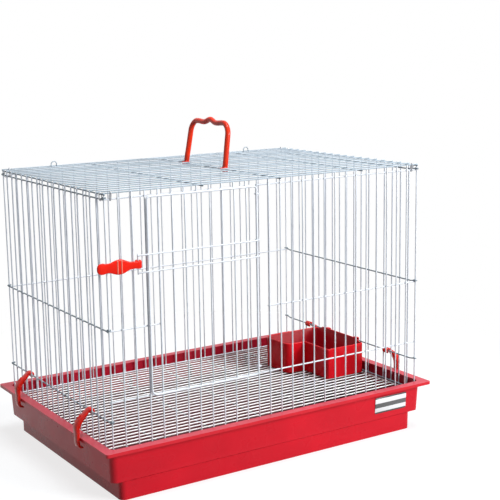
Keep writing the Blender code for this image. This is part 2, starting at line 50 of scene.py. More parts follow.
WIRE_R = 0.0011            # panel wire radius
FRAME_R = 0.0015           # door frame wire radius
STACK = 0.0019             # crossing wires lie this far apart, welded into each other
GAP = 0.0003               # clearance between pieces that lie against each other
TINE = WIRE_R * 1.6        # a wire runs this far past the last one that it crosses
THIN_R = 0.0009            # radius of the hanging loops' and tie rings' wire
WELD_R = 0.0019            # weld lump, along the panel
WELD_FLAT_R = 0.0016       # weld lump, across the panel
SIDES = 12                 # corners round a wire
THIN_SIDES = 10            # corners round a thin wire
WIDTH_SLACK = 0.00006      # how far the width between a bar's edges may be out


# ---- where things are in the CAD frame ----------------------------------
def spread(node, axis):
    """Sorted coordinates of a CAD node's corners along one axis."""
    return sorted({round(v.co[axis], 5) for v in nodes[node].data.vertices})


def centres(node, axis, width):
    """Centres of the bars of a flat grille, from the pairs of edges a bar's width apart."""
    values = spread(node, axis)
    found = []
    for low, high in zip(values, values[1:]):
        if abs(high - low - width) < WIDTH_SLACK:
            found.append((low + high) / 2)
    return found


def middle_of(node, axis):
    """Middle of a CAD node's box along one axis."""
    low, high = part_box(node)
    return (low[axis] + high[axis]) / 2


WIRE = 2 * WIRE_R
FRAME = 2 * FRAME_R
FRONT_LEFT_X = centres("front_panel_left", 0, WIRE)
SILL_X = centres("front_sill_grille", 0, WIRE)
FRONT_RIGHT_X = centres("front_panel_right", 0, WIRE)
BACK_X = centres("back_panel", 0, WIRE)
END_YS = centres("left_end_panel", 1, WIRE)
FRONT_Z = centres("front_panel_left", 2, WIRE)
BACK_Z = centres("back_panel", 2, WIRE)
END_ZS = centres("left_end_panel", 2, WIRE)
ROOF_X = centres("roof_panel", 0, WIRE)
ROOF_Y = centres("roof_panel", 1, WIRE)
GRATE_X = centres("floor_grate", 0, WIRE)
GRATE_Y = centres("floor_grate", 1, WIRE)
BOTTOM_Z, SILL_Z, MID_Z, TOP_Z = FRONT_Z
END_Z = END_ZS[1]
FRONT_Y = middle_of("front_panel_left", 1)
BACK_Y = -FRONT_Y
RIGHT_X = -middle_of("left_end_panel", 0)
ROOF_Z = middle_of("roof_panel", 2)
GRATE_Z = middle_of("floor_grate", 2)
FOOT_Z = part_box("back_panel")[0].z
HEAD_Z = ROOF_Z + STACK - WIRE_R * 0.6      # uprights end just under the middle of the roof's long wires


# ---- mesh building ------------------------------------------------------
def arc(centre, radius, start, end, steps):
    """Points along an arc in a plane, from start to end in degrees."""
    points = []
    for i in range(steps + 1):
        angle = math.radians(start + (end - start) * i / steps)
        points.append((centre[0] + radius * math.cos(angle), centre[1] + radius * math.sin(angle)))
    return points


class Shape:
    """Collects tubes, sweeps and lofts into one mesh."""

    def __init__(self):
        self.points = []
        self.faces = []

    def outward(self, first):
        """Turns the newest closed skin outwards by the sign of its volume."""
        volume = 0.0
        for face in self.faces[first:]:
            corners = [Vector(self.points[k]) for k in face]
            for b, c in zip(corners[1:], corners[2:]):
                volume += corners[0].dot(b.cross(c))
        if volume < 0:
            self.faces[first:] = [face[::-1] for face in self.faces[first:]]

    def rows(self, rows, closed=False):
        """Skins equal rings of points: capped at both ends, or closed on itself like a torus."""
        first = len(self.faces)
        base = len(self.points)
        size, count = len(rows[0]), len(rows)
        for row in rows:
            self.points += [tuple(p) for p in row]
        for r in range(count if closed else count - 1):
            here = base + r * size
            there = base + (r + 1) % count * size
            for k in range(size):
                after = (k + 1) % size
                self.faces.append((here + k, here + after, there + after, there + k))
        if not closed:
            self.faces.append(tuple(range(base, base + size))[::-1])
            self.faces.append(tuple(range(base + (count - 1) * size, base + count * size)))
        self.outward(first)

    def sweep(self, path, section, up=(0, 0, 1), closed=False, taper=True, swell=None):
        """Carries a flat section of (across, up) points along a path; swell scales its second side."""
        path = [Vector(p) for p in path]
        count = len(path)
        normal = Vector(up)
        rings = []
        for i, point in enumerate(path):
            if closed:
                along = (path[(i + 1) % count] - path[i - 1]).normalized()
            else:
                along = (path[min(i + 1, count - 1)] - path[max(i - 1, 0)]).normalized()
            normal = normal - along * normal.dot(along)
            if normal.length < 1e-6:
                normal = along.orthogonal()
            normal.normalize()
            side = along.cross(normal)
            rings.append((point, side, normal, along))
        swell = swell or [1.0] * count
        rows = [[p + s * u + n * v * k for u, v in section] for (p, s, n, _), k in zip(rings, swell)]
        if taper and not closed:
            rows = self.round_ends(rings, section, rows)
        self.rows(rows, closed)

    @staticmethod
    def round_ends(rings, section, rows):
        """Adds small rings so that a wire ends in a rounded tip."""
        reach = max(abs(v) for _, v in section) * 0.5
        tip_rings = ((0.82, 0.55), (0.45, 0.95))        # size against the section, way out against the reach
        tips = []
        for index, sign in ((0, -1), (-1, 1)):
            point, side, normal, along = rings[index]
            extra = []
            for share, out in tip_rings:
                centre = point + along * sign * reach * out
                extra.append([centre + side * u * share + normal * v * share for u, v in section])
            tips.append(extra)
        return tips[0][::-1] + rows + tips[1]

    def wire(self, path, radius=WIRE_R, sides=SIDES, up=(0, 0, 1), closed=False):
        """Round wire along a path; where it runs along up, another direction is taken."""
        section = [(radius * math.cos(a), radius * math.sin(a))
                   for a in (2 * math.pi * (k + 0.5) / sides for k in range(sides))]
        path = [Vector(p) for p in path]
        along = path[1] - path[0]
        if abs(along.normalized().dot(Vector(up))) > 0.95:
            up = (0, 1, 0) if abs(along.normalized().y) < 0.9 else (1, 0, 0)
        self.sweep(path, section, up, closed)

    def blob(self, centre, radii, rings=4, sides=8):
        """Small rounded lump, such as a weld under its paint."""
        rows = []
        for r in range(1, rings):
            tilt = math.pi * r / rings
            row = []
            for k in range(sides):
                turn = 2 * math.pi * k / sides
                row.append((
                    centre[0] + radii[0] * math.sin(tilt) * math.cos(turn),
                    centre[1] + radii[1] * math.sin(tilt) * math.sin(turn),
                    centre[2] - radii[2] * math.cos(tilt),
                ))
            rows.append(row)
        self.rows(rows)

    def make(self, name, material, body, node, slot, angle=50):
        """Turns the shape into a piece; edges sharper than the angle in degrees stay sharp."""
        mesh = bpy.data.meshes.new(name)
        mesh.from_pydata(self.points, [], self.faces)
        mesh.validate()
        item = bpy.data.objects.new(name, mesh)
        bpy.context.collection.objects.link(item)
        mesh.shade_smooth()
        mesh.set_sharp_from_angle(angle=math.radians(angle))
        mesh.materials.append(material)
        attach(item, body)
        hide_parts(node)
        return item


def bow(seed, share):
    """Slight sideways bend of a hand-fitted wire, in metres."""
    most, stagger = 0.0003, 2.4
    return most * math.sin(seed * stagger) * math.sin(math.pi * share)


def straight(start, end, seed, across, steps=6):
    """A nearly straight wire's path, with a slight bow along one axis."""
    start, end = Vector(start), Vector(end)
    path = []
    for i in range(steps + 1):
        share = i / steps
        point = start.lerp(end, share)
        point[across] += bow(seed, share)
        path.append(point)
    return path


def weld(shape, x, y, z, flat_axis):
    """Lump where two wires are welded; flat_axis is the panel's normal."""
    radii = [WELD_R] * 3
    radii[flat_axis] = WELD_FLAT_R
    shape.blob((x, y, z), radii)


# ---- materials ----------------------------------------------------------
NOISE_SPAN = (0.3, 0.7)             # where nearly all of a noise's values lie
EDGE_POINTINESS = (0.53, 0.66)      # from where an edge looks rubbed to where it is rubbed most
EDGE_WEAR = 0.5
BUMP_STRENGTH = 0.3
PLASTIC_SPECULAR = 0.14
WIRE_SPECULAR = 0.3
COAT_ROUGH = 0.07


def new_material(name):
    """A new material with its node tree and its main shader."""
    material = bpy.data.materials.new(name)
    material.use_nodes = True
    return material, material.node_tree, material.node_tree.nodes["Principled BSDF"]


def noise(tree, scale, detail, rough=0.55, stretch=(1, 1, 1)):
    """Noise that stays with the object, as a value of about 0.3 to 0.7."""
    place = tree.nodes.new("ShaderNodeTexCoord")
    mapping = tree.nodes.new("ShaderNodeMapping")
    mapping.inputs["Scale"].default_value = stretch
    texture = tree.nodes.new("ShaderNodeTexNoise")
    texture.inputs["Scale"].default_value = scale
    texture.inputs["Detail"].default_value = detail
    texture.inputs["Roughness"].default_value = rough
    tree.links.new(place.outputs["Object"], mapping.inputs["Vector"])
    tree.links.new(mapping.outputs["Vector"], texture.inputs["Vector"])
    return texture.outputs["Fac"]


def ramp(tree, source, stops, steps="LINEAR"):
    """Colours by value, from (place, colour) stops."""
    node = tree.nodes.new("ShaderNodeValToRGB")
    node.color_ramp.interpolation = steps
    while len(node.color_ramp.elements) < len(stops):
        node.color_ramp.elements.new(0.5)
    for element, (place, colour) in zip(node.color_ramp.elements, stops):
        element.position = place
        element.color = (*colour, 1)
    tree.links.new(source, node.inputs["Fac"])
    return node.outputs["Color"]


def ranged(tree, source, span, low=0.0, high=1.0, steps="LINEAR"):
    """Maps a span of values to the range from low to high."""
    node = tree.nodes.new("ShaderNodeMapRange")
    node.interpolation_type = steps
    node.inputs["From Min"].default_value = span[0]
    node.inputs["From Max"].default_value = span[1]
    node.inputs["To Min"].default_value = low
    node.inputs["To Max"].default_value = high
    tree.links.new(source, node.inputs["Value"])
    return node.outputs["Result"]


def combined(tree, operation, first, second):
    """One maths operation on two values."""
    node = tree.nodes.new("ShaderNodeMath")
    node.operation = operation
    tree.links.new(first, node.inputs[0])
    tree.links.new(second, node.inputs[1])
    return node.outputs["Value"]


def bump(tree, shader, source, height):
    """Fine relief on the surface, height in metres."""
    node = tree.nodes.new("ShaderNodeBump")
    node.inputs["Strength"].default_value = BUMP_STRENGTH
    node.inputs["Distance"].default_value = height
    tree.links.new(source, node.inputs["Height"])
    tree.links.new(node.outputs["Normal"], shader.inputs["Normal"])


def tinted(colour, factor):
    """A darker or lighter shade of a colour."""
    return tuple(min(1.0, c * factor) for c in colour)


def worn_edges(tree, colour_out, pale):
    """Lightens the rubbed outer edges of a moulding."""
    geometry = tree.nodes.new("ShaderNodeNewGeometry")
    edge = ranged(tree, geometry.outputs["Pointiness"], EDGE_POINTINESS, 0.0, EDGE_WEAR)
    mix = tree.nodes.new("ShaderNodeMix")
    mix.data_type = "RGBA"
    mix.inputs["B"].default_value = (*pale, 1)
    tree.links.new(edge, mix.inputs["Factor"])
    tree.links.new(colour_out, mix.inputs["A"])
    return mix.outputs["Result"]


def moulded(name, colour, rough=0.32, coat=0.0, shade=0.82):
    """Moulded plastic: slightly uneven colour, fine grain and rubbed patches."""
    material, tree, shader = new_material(name)
    broad = noise(tree, 14, 4)
    fine = noise(tree, 900, 2)
    scuff = noise(tree, 24, 2)
    stops = ((0.30, tinted(colour, shade)), (0.55, colour), (0.8, tinted(colour, 1.1)))
    colour_out = ramp(tree, broad, stops)
    worn = worn_edges(tree, colour_out, tuple(c * 0.9 + 0.05 for c in colour))
    tree.links.new(worn, shader.inputs["Base Color"])
    tree.links.new(ranged(tree, scuff, NOISE_SPAN, rough, rough + 0.10), shader.inputs["Roughness"])
    shader.inputs["Coat Weight"].default_value = coat
    shader.inputs["Coat Roughness"].default_value = COAT_ROUGH
    shader.inputs["Specular IOR Level"].default_value = PLASTIC_SPECULAR
    bump(tree, shader, fine, 0.00006)
    return material


def painted_wire(name, colour, grime):
    """Powder-coated wire: pale coat with orange-peel grain and faint dull patches."""
    material, tree, shader = new_material(name)
    patches = noise(tree, 55, 4, 0.6)
    peel = noise(tree, 1400, 2)
    colour_out = ramp(tree, patches, ((0.25, grime), (0.45, colour), (0.75, tinted(colour, 1.06))))
    tree.links.new(colour_out, shader.inputs["Base Color"])
    dull, smooth = 0.46, 0.34
    tree.links.new(ranged(tree, patches, NOISE_SPAN, dull, smooth), shader.inputs["Roughness"])
    shader.inputs["Specular IOR Level"].default_value = WIRE_SPECULAR
    bump(tree, shader, peel, 0.00004)
    return material


def ring_metal(name):
    """Drawn steel wire, streaked along its height."""
    material, tree, shader = new_material(name)
    drawn = noise(tree, 500, 3, 0.6, (1, 1, 8))
    colour_out = ramp(tree, drawn, ((0.3, (0.30, 0.31, 0.33)), (0.7, (0.62, 0.63, 0.66))))
    tree.links.new(colour_out, shader.inputs["Base Color"])
    tree.links.new(ranged(tree, drawn, NOISE_SPAN, 0.28, 0.5), shader.inputs["Roughness"])
    shader.inputs["Metallic"].default_value = 0.9
    bump(tree, shader, drawn, 0.00003)
    return material


# The wires all carry one white coat; the lighter and darker copies of it below are painted light and painted
# shade.
WHITE = painted_wire("white_coat", (0.60, 0.64, 0.71), (0.48, 0.52, 0.59))
# Lighter copy of the white coat: painted light on the front-lit wires of the front, back and door.
LIT_WHITE = painted_wire("front_coat", (0.71, 0.75, 0.81), (0.58, 0.62, 0.69))
# Darker copy of the white coat for the roof's long wires and the loops: painted shade.
ROOF_SHADED_WHITE = painted_wire("roof_coat", (0.38, 0.455, 0.52), (0.28, 0.345, 0.40))
# Near-black copy of the white coat for the roof's and grate's cross wires: painted shadow under the long
# wires.
CROSS_SHADOW_DARK = painted_wire("roof_cross_coat", (0.06, 0.08, 0.10), (0.12, 0.15, 0.18))
# Brightest copy of the white coat for the grate: painted light on its tops.
GRATE_LIT_WHITE = painted_wire("grate_coat", (0.95, 0.95, 0.95), (0.86, 0.86, 0.87))
# Dark grey copy of the white coat for the end panels' level wires and the roof's end wires: painted shade.
END_WIRE_SHADE_GREY = painted_wire("cross_wire_coat", (0.20, 0.25, 0.29), (0.30, 0.35, 0.39))
TRAY_RED = moulded("tray_red_plastic", (0.67, 0.008, 0.022), 0.24, 0.06, 0.92)
# Darker red for the tray's inside walls: painted shade.
TRAY_INSIDE_SHADE = moulded("tray_inside_plastic", (0.34, 0.005, 0.020), 0.30, 0.0, 0.8)
# Pale pink for the rim's top faces: painted reflection of the white surroundings.
TRAY_RIM_SHEEN = moulded("tray_rim_plastic", (0.60, 0.055, 0.085), 0.30)
# Near-black red for the tray's inside floor and lowest inner walls: painted shade.
TRAY_FLOOR_SHADE = moulded("tray_floor_plastic", (0.09, 0.004, 0.008), 0.34, 0.0, 0.8)
CLIP_RED = moulded("clip_red_plastic", (0.78, 0.016, 0.008), 0.20, 0.2)
CUP_RED = moulded("feeder_red_plastic", (0.76, 0.008, 0.018), 0.22, 0.1)
ORANGE = moulded("handle_orange_plastic", (0.84, 0.032, 0.003), 0.20, 0.2, 0.7)
# Paler orange for the latch's ridges: a painted highlight.
LATCH_RIDGE_HIGHLIGHT = moulded("latch_worn_plastic", (0.90, 0.24, 0.17), 0.30, 0.0, 0.8)
# Darker red for the feeder cup's inside: painted shade.
CUP_INSIDE_SHADE = moulded("feeder_inside_plastic", (0.36, 0.004, 0.012), 0.26, 0.0, 0.85)
LATCH_RED = moulded("latch_red_plastic", (0.84, 0.012, 0.002), 0.20, 0.05, 0.7)
STEEL = ring_metal("ring_steel")


# ---- wire panels --------------------------------------------------------
DOOR_POST_R = FRAME_R * 0.93        # the upright that the door closes against is thicker


def front_panel(name, xs, levels, starts, ends, top=HEAD_Z, low=FOOT_Z):
    """Uprights in the CAD plane with the level wires welded to their inner side."""
    shape = Shape()
    for i, x in enumerate(xs):
        radius = DOOR_POST_R if x == FRONT_LEFT_X[-1] else WIRE_R
        shape.wire(straight((x, FRONT_Y, low), (x, FRONT_Y, top), i + x * 90, 0), radius)
    for z, start, end in zip(levels, starts, ends):
        shape.wire(straight((start, FRONT_Y + STACK, z), (end, FRONT_Y + STACK, z), z * 50, 2, 10))
        for x in xs:
            if start - WIRE_R < x < end + WIRE_R:
                weld(shape, x, FRONT_Y + STACK / 2, z, 1)
    return shape.make(name + "_wires", LIT_WHITE, "cage", name, "white_wire")


def make_front():
    """Four flat grilles round the doorway; the middle wire leaves the hinge wire clear."""
    left, right = FRONT_LEFT_X, FRONT_RIGHT_X
    low_left, high_left = left[0] - TINE, left[-1] + TINE
    front_panel("front_panel_left", left, FRONT_Z, [low_left] * 4, [high_left] * 4)
    low_right, high_right = right[0] - TINE, right[-1] + TINE
    starts = (low_right, low_right, right[1] - TINE, low_right)
    front_panel("front_panel_right", right, FRONT_Z, starts, [high_right] * 4)
    start, end = high_left + TINE * 0.3, low_right - TINE * 0.3
    sill = (BOTTOM_Z, SILL_Z)
    front_panel("front_sill_grille", SILL_X, sill, [start] * 2, [end] * 2, top=SILL_Z + WIRE_R)
    front_panel("doorway_header", SILL_X, (TOP_Z,), [start], [end], low=TOP_Z - WIRE_R)


def make_back():
    """Uprights outside, with the level wires welded to their inner side."""
    shape = Shape()
    for i, x in enumerate(BACK_X):
        shape.wire(straight((x, BACK_Y, FOOT_Z), (x, BACK_Y, HEAD_Z), i * 1.7, 0))
    y = BACK_Y - STACK
    for z in BACK_Z:
        shape.wire(straight((BACK_X[0] - TINE, y, z), (BACK_X[-1] + TINE, y, z), z * 40, 2, 12))
        for x in BACK_X:
            weld(shape, x, BACK_Y - STACK / 2, z, 1)
    shape.make("back_panel_wires", LIT_WHITE, "cage", "back_panel", "white_wire")


def eye_end(x_side, y_side, z):
    """End of a level wire: it swings out, rises a little and curls round the corner post."""
    post = Vector((x_side * RIGHT_X, y_side * BACK_Y, 0))
    radius, lift, turn = WIRE_R * 2.15, WIRE_R * 2.4, 315
    steps = 15
    points = []
    for i in range(steps + 1):
        share = i / steps
        angle = math.radians(turn * share)
        out = math.cos(angle) * radius
        along = math.sin(angle) * radius
        points.append((post.x + x_side * out, post.y + y_side * along, z + lift * min(1, 0.5 + share)))
    return points


def end_rail(x_side, z):
    """Whole path of a level wire of an end panel, eye to eye."""
    front = eye_end(x_side, -1, z)[::-1]
    back = eye_end(x_side, 1, z)
    inset, steps = 0.012, 8
    low, high = FRONT_Y + inset, BACK_Y - inset
    middle = [(x_side * RIGHT_X, low + (high - low) * i / steps, z) for i in range(steps + 1)]
    return front + middle + back


def make_end(name, x_side):
    """Uprights outside, and level wires that curl round the corner posts."""
    shape, rails = Shape(), Shape()
    x = x_side * RIGHT_X
    outer = x + x_side * STACK
    for i, y in enumerate(END_YS):
        shape.wire(straight((outer, y, FOOT_Z), (outer, y, HEAD_Z), i * 1.3 + x_side, 1))
    for z in END_ZS:
        rails.wire(end_rail(x_side, z), up=(1, 0, 0))
        for y in END_YS:
            weld(shape, x + x_side * STACK / 2, y, z, 0)
    shape.make(name + "_wires", WHITE, "cage", name, "white_wire")
    # The level wires take the dark grey copy of the coat, painted shade.
    rails.make(name + "_rails", END_WIRE_SHADE_GREY, "cage", name, "white_wire")


def make_roof():
    """Long wires on top of the cross wires and the two end wires."""
    shape, cross, ends = Shape(), Shape(), Shape()
    front, back = ROOF_Y[0] - TINE, ROOF_Y[-1] + TINE
    for i, x in enumerate(ROOF_X):
        target = ends if x in (ROOF_X[0], ROOF_X[-1]) else cross
        target.wire(straight((x, front, ROOF_Z), (x, back, ROOF_Z), i * 2.1, 0, 10))
    top = ROOF_Z + STACK
    for i, y in enumerate(ROOF_Y):
        shape.wire(straight((ROOF_X[0] - TINE, y, top), (ROOF_X[-1] + TINE, y, top), i * 1.9, 2, 12))
        for x in ROOF_X:
            weld(shape, x, y, ROOF_Z + STACK / 2, 2)
    # The roof's long wires take the darker copy of the coat, painted shade.
    shape.make("roof_panel_wires", ROOF_SHADED_WHITE, "cage", "roof_panel", "white_wire")
    # The roof's cross wires take the near-black copy of the coat, painted shadow.
    cross.make("roof_cross_wires", CROSS_SHADOW_DARK, "cage", "roof_panel", "white_wire")
    # The roof's end wires take the dark grey copy of the coat, painted shade.
    ends.make("roof_end_wires", END_WIRE_SHADE_GREY, "cage", "roof_panel", "white_wire")


def make_grate():
    """Long wires in a frame of the same wire, on cross wires that stop short of the frame."""
    shape, cross = Shape(), Shape()
    over, clear = WIRE_R * 1.3, 0.006
    left, right = GRATE_X[0] - over, GRATE_X[-1] + over
    for i, y in enumerate(GRATE_Y):
        shape.wire(straight((left, y, GRATE_Z), (right, y, GRATE_Z), i * 1.1, 1, 10))
    under = GRATE_Z - STACK
    front, back = GRATE_Y[0], GRATE_Y[-1]
    for i, x in enumerate(GRATE_X):
        if x in (GRATE_X[0], GRATE_X[-1]):
            shape.wire(straight((x, front, GRATE_Z), (x, back, GRATE_Z), i * 2.7, 0, 10))
            continue
        cross.wire(straight((x, front + clear, under), (x, back - clear, under), i * 2.7, 0, 10))
        for y in GRATE_Y:
            if front + clear <= y <= back - clear:
                weld(shape, x, y, GRATE_Z - STACK / 2, 2)
    # The grate's long wires and frame take the brightest copy of the coat, painted light.
    shape.make("floor_grate_wires", GRATE_LIT_WHITE, "cage", "floor_grate", "white_wire")
    # The grate's cross wires take the near-black copy of the coat, painted shadow.
    cross.make("grate_cross_wires", CROSS_SHADOW_DARK, "cage", "floor_grate", "white_wire")


# ---- door and latch -----------------------------------------------------
DOOR_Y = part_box("front_panel_left")[0].y - GAP - FRAME_R
DOOR_BARS = centres("door", 2, FRAME)
DOOR_RAILS = centres("door", 2, WIRE)
PIN_X = centres("door", 0, WIRE)[0]
HINGE_X = FRONT_RIGHT_X[0]
DOOR_STILES = (centres("door", 0, FRAME)[0], HINGE_X - WIRE_R - GAP - FRAME_R)


def make_door():
    """Frame, bars and rails; the rails' ends and two rings turn on the hinge wire."""
    shape = Shape()
    x0, x1 = DOOR_STILES
    z0, z1 = DOOR_BARS[0], DOOR_BARS[-1]
    wide_bend, bend = 0.0090, 0.0045
    outline = arc((x0 + wide_bend, z0 + wide_bend), wide_bend, 180, 270, 8)
    outline += arc((x1 - bend, z0 + bend), bend, 270, 360, 6)
    outline += arc((x1 - bend, z1 - bend), bend, 0, 90, 6)
    outline += arc((x0 + bend, z1 - bend), bend, 90, 180, 6)
    shape.wire([(x, DOOR_Y, z) for x, z in outline], FRAME_R, up=(0, 1, 0), closed=True)
    for i, x in enumerate(SILL_X):
        shape.wire(straight((x, DOOR_Y, z0), (x, DOOR_Y, z1), i * 3.1, 0))
        for z in (z0, z1):
            weld(shape, x, DOOR_Y, z, 1)
    rail_y = DOOR_Y - STACK
    knuckle, knuckle_inset = 0.0030, 0.012
    for z in DOOR_RAILS:
        path = [(PIN_X - WIRE_R, rail_y, z), (x0, rail_y, z), ((x0 + x1) / 2, rail_y, z), (x1, rail_y, z)]
        hook = arc((HINGE_X, FRONT_Y), knuckle, 240, 480, 12)
        path += [(u, v, z) for u, v in hook]
        shape.wire(path)
        for x in (*SILL_X, x0, x1, PIN_X):
            weld(shape, x, DOOR_Y - STACK / 2, z, 1)
    shape.wire([(PIN_X, DOOR_Y, DOOR_RAILS[0] - WIRE), (PIN_X, DOOR_Y, DOOR_RAILS[1] + WIRE)])
    for z in (z0 + knuckle_inset, z1 - knuckle_inset):
        ring = [(u, v, z) for u, v in arc((HINGE_X, FRONT_Y), knuckle, 0, 360, 18)[:-1]]
        shape.wire(ring, closed=True)
    shape.make("door_wires", LIT_WHITE, "door", "door", "white_wire")


def rounded_section(half_w, half_h, corner=0.6, steps=3):
    """Rounded rectangle of (across, up) points."""
    radius = min(half_w, half_h) * corner
    points = []
    for sx, sy, start in ((1, 1, 0), (-1, 1, 90), (-1, -1, 180), (1, -1, 270)):
        points += arc((sx * (half_w - radius), sy * (half_h - radius)), radius, start, start + 90, steps)
    return points


def make_latch():
    """Moulded latch: a waisted tongue with two ridges in a paler colour that is a painted highlight, and a
    collar round the door's pin.
    """
    low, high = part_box("door_latch")
    mid_z = middle_of("door_latch", 2)
    length = PIN_X - low.x
    half_height = (high.z - low.z) / 2
    half_thick = 0.00165
    # share of the way to the pin, then height and thickness against the halves
    stops = (
        (0.00, 0.28, 0.5), (0.015, 0.48, 0.8), (0.045, 0.64, 1.0), (0.09, 0.73, 1.0), (0.14, 0.74, 0.9),
        (0.20, 0.65, 0.85), (0.26, 0.62, 0.85), (0.33, 0.70, 1.0), (0.40, 0.86, 1.1), (0.46, 0.96, 1.2),
        (0.52, 1.00, 1.25), (0.58, 0.98, 1.2), (0.65, 0.86, 1.1), (0.72, 0.67, 1.0), (0.78, 0.54, 0.9),
        (0.85, 0.48, 0.95), (0.93, 0.49, 1.1), (1.00, 0.52, 1.2), (1.05, 0.51, 1.15), (1.06, 0.45, 0.9),
    )
    middle_y = low.y + half_thick * 1.3
    rows = []
    for share, height, thick in stops:
        x = low.x + length * share
        section = rounded_section(half_thick * thick, half_height * height, 0.85, 4)
        rows.append([(x, middle_y + u, mid_z + v) for u, v in section])
    shape, ridges = Shape(), Shape()
    shape.rows(rows)
    ridge_r, ridge_y, ridge_half, ridge_steps = 0.0010, low.y + 0.0004, half_height * 0.86, 8
    for share in (0.475, 0.575):
        x = low.x + length * share
        heights = [mid_z - ridge_half + 2 * ridge_half * i / ridge_steps for i in range(ridge_steps + 1)]
        ridges.wire([(x, ridge_y, z) for z in heights], ridge_r, THIN_SIDES)
    # The ridges' paler colour is a painted highlight.
    ridges.make("door_latch_ridges", LATCH_RIDGE_HIGHLIGHT, "latch", "door_latch", "latch_plastic", 60)
    collar = rounded_section(0.0011, half_height * 0.55, 0.5, 3)
    collar_r, steps = 0.0034, 24
    ring = []
    for i in range(steps):
        angle = 2 * math.pi * i / steps
        c, s = math.cos(angle), math.sin(angle)
        ring.append([(PIN_X + (collar_r + u) * c, DOOR_Y + (collar_r + u) * s, mid_z + v) for u, v in collar])
    shape.rows(ring, closed=True)
    shape.make("door_latch_body", LATCH_RED, "latch", "door_latch", "latch_plastic", 60)


# ---- handle -------------------------------------------------------------
def make_handle():
    """Round bail with a wavy grip, and two open feet that snap round the roof's middle cross wire."""
    low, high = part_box("carrying_handle")
    joint = next(j for j in frame["joints"] if j["name"] == "handle_fold")
    axis_x, middle, axis_z = joint["pos_m"]
    lean = math.radians(9)
    radius, sides = 0.0045, 20
    half = (high.y - low.y) / 2 - radius * 0.98
    top, taper, bend = 0.0790, 0.003, 0.020
    leg = [
        (-half, 0.0044), (-half + 0.0004, 0.016),
        (-half + taper * 0.5, top * 0.35), (-half + taper * 0.85, top * 0.6),
    ]
    shoulder = top - 0.0048 - bend * 0.97
    bend_y = half - taper - bend
    grip_z, wave_z, peak_z, peak_half = top - 0.0052, 0.0006, 0.0040, 0.011
    steps = 28
    path = leg + arc((-bend_y, shoulder), bend, 176, 104, 9)
    for i in range(1, steps):
        share = i / steps
        y = bend_y * (2 * share - 1)
        wave = wave_z * math.cos(4 * math.pi * share)
        path.append((y, grip_z + wave + peak_z * math.exp(-(y / peak_half) ** 2)))
    path += arc((bend_y, shoulder), bend, 76, 4, 9)
    path += [(-y, h) for y, h in reversed(leg)]

    def tip(y, h, x=0.0):
        """A point of the leaning handle, from its place along, above and across the roof's wire."""
        return (
            axis_x + x * math.cos(lean) + h * math.sin(lean),
            middle + y,
            axis_z - x * math.sin(lean) + h * math.cos(lean),
        )

    shape = Shape()
    shape.wire([tip(y, h) for y, h in path], radius, sides, up=(1, 0, 0))
    foot_section = rounded_section(0.0016, radius * 0.9, 0.55, 3)
    foot_r, foot_start, foot_turn, foot_steps = 0.0035, -45, 300, 20
    hook, hook_r = ((-0.0040, -0.0020), (-0.0062, -0.0012), (-0.0078, 0.0006)), 0.0019
    for y in (-half, half):
        rows = []
        for i in range(foot_steps + 1):
            angle = math.radians(foot_start + foot_turn * i / foot_steps)
            c, s = math.cos(angle), math.sin(angle)
            rows.append([tip(y + v, (foot_r + u) * s, (foot_r + u) * c) for u, v in foot_section])
        shape.rows(rows)
        shape.wire([tip(y, h, x) for x, h in hook], hook_r, THIN_SIDES, up=(0, 1, 0))
    shape.make("carrying_handle_bail", ORANGE, "handle", "carrying_handle", "handle_plastic", 60)


# ---- clips --------------------------------------------------------------
def clip_path():
    """Clip's centre line about its wire, (outwards, up), with how much thicker it is than its section."""
    hook = [(p, 1.25) for p in arc((0, 0), 0.0034, 265, 60, 16)]
    arm = [
        ((0.0046, 0.0012), 1.5), ((0.0086, -0.0026), 1.8), ((0.0126, -0.0062), 2.1),
        ((0.0166, -0.0100), 2.5), ((0.0200, -0.0140), 2.9), ((0.0226, -0.0188), 3.0),
        ((0.0236, -0.0238), 2.6), ((0.0236, -0.0290), 2.2), ((0.0235, -0.0345), 2.05),
        ((0.0236, -0.0400), 2.0), ((0.0235, -0.0450), 2.0), ((0.0226, -0.0490), 1.8),
        ((0.0204, -0.0514), 1.5), ((0.0180, -0.0522), 1.2), ((0.0160, -0.0524), 0.6),
    ]
    return hook + arm


def make_clip(side, name, body):
    """One clip: a swelling arm that hangs on the end's wire, with three ribs over its elbow."""
    low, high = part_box(name)
    centre = middle_of(name, 1)
    half = (high.y - low.y) / 2
    path = clip_path()
    shape = Shape()
    points = [(side * (RIGHT_X + u), centre, END_Z + v) for (u, v), _ in path]
    section = [(v, u) for u, v in rounded_section(0.0013, half, 0.9, 3)]
    shape.sweep(points, section, up=(side, 0, 0.001), taper=False, swell=[k for _, k in path])
    elbow = points[19:24]
    rib_r, rib_out, rib_up, rib_across = 0.0009, side * 0.0024, 0.0018, half * 0.62
    for across in (-rib_across, 0.0, rib_across):
        rib = [(x + rib_out, y + across, z + rib_up) for x, y, z in elbow]
        shape.wire(rib, rib_r, THIN_SIDES, up=(0, 1, 0))
    shape.make(name + "_body", CLIP_RED, body, name, "clip_plastic", 45)


def make_clips():
    """Two clips at each end, each on its own body."""
    for side, side_name in ((-1, "left"), (1, "right")):
        for place_name in ("front", "back"):
            place = f"{side_name}_{place_name}"
            make_clip(side, f"tray_clip_{place}", f"clip_{place}")


# ---- tray ---------------------------------------------------------------
TRAY_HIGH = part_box("tray")[1]
RIM_Z = TRAY_HIGH.z
RIM_OFF = TRAY_HIGH.x - RIGHT_X
TRAY_WALL = 0.0025
TRAY_STEP_Z = 0.031                 # height of the outside step
LIP_DROP = 0.005                    # turned-down lip
RIM_SHEEN_DEPTH = 0.0006                  # faces this near the top take the rim's painted reflection
INSIDE_SHADE_DEPTH = 0.002                # inside faces lower than this take painted shade
FLOOR_SHADE_HEIGHT = 0.05                 # and those lower than this height the floor's darker painted shade


